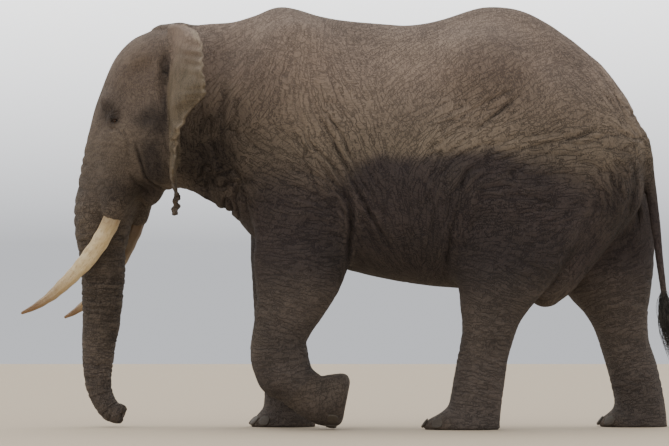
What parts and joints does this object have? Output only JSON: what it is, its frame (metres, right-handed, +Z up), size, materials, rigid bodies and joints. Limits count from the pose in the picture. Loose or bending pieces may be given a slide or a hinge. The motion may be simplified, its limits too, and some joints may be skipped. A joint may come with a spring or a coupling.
{
  "type": "african elephant",
  "caption": "Life-size African bush elephant bull walking with its head turned a little away, trunk hanging and curled at the tip, curved tusks, half-open ears and one forefoot lifted.",
  "frame": {"origin": "on the floor the soles stand on, under the middle of the box round the whole animal", "axes": "-X is the way the elephant walks, +Y its right side, +Z up"},
  "size_m": [5.1641, 2.21, 3.3102],
  "materials": {
    "elephant_skin": "dry wrinkled hide dusted with earth, darker and damp below",
    "ear_skin": "thin dry hide, a little paler than the body",
    "tusk_ivory": "worn satin ivory with brown stains",
    "toenail_horn": "dull dusty horn",
    "eye_brown": "wet and glossy",
    "tail_hair": "coarse wiry black hair"
  },
  "bodies": {
    "root": {"head": "elephant_skin", "lower_jaw": "elephant_skin", "neck": "elephant_skin", "chest": "elephant_skin", "belly": "elephant_skin", "rump": "elephant_skin", "trunk_upper": "elephant_skin", "trunk_middle": "elephant_skin", "trunk_lower": "elephant_skin", "trunk_tip": "elephant_skin", "tail": "elephant_skin", "upper_fore_leg_left": "elephant_skin", "upper_fore_leg_right": "elephant_skin", "lower_fore_leg_left": "elephant_skin", "lower_fore_leg_right": "elephant_skin", "fore_foot_left": "elephant_skin", "fore_foot_right": "elephant_skin", "thigh_left": "elephant_skin", "thigh_right": "elephant_skin", "lower_hind_leg_left": "elephant_skin", "lower_hind_leg_right": "elephant_skin", "hind_foot_left": "elephant_skin", "hind_foot_right": "elephant_skin", "ear_left": "ear_skin", "ear_right": "ear_skin", "tusk_left": "tusk_ivory", "tusk_right": "tusk_ivory", "eye_left": "eye_brown", "eye_right": "eye_brown", "tail_tuft": "tail_hair", "toenail_fore_left_1": "toenail_horn", "toenail_fore_left_2": "toenail_horn", "toenail_fore_left_3": "toenail_horn", "toenail_fore_left_4": "toenail_horn", "toenail_fore_right_1": "toenail_horn", "toenail_fore_right_2": "toenail_horn", "toenail_fore_right_3": "toenail_horn", "toenail_fore_right_4": "toenail_horn", "toenail_hind_left_1": "toenail_horn", "toenail_hind_left_2": "toenail_horn", "toenail_hind_left_3": "toenail_horn", "toenail_hind_right_1": "toenail_horn", "toenail_hind_right_2": "toenail_horn", "toenail_hind_right_3": "toenail_horn"}
  },
  "joints": []
}
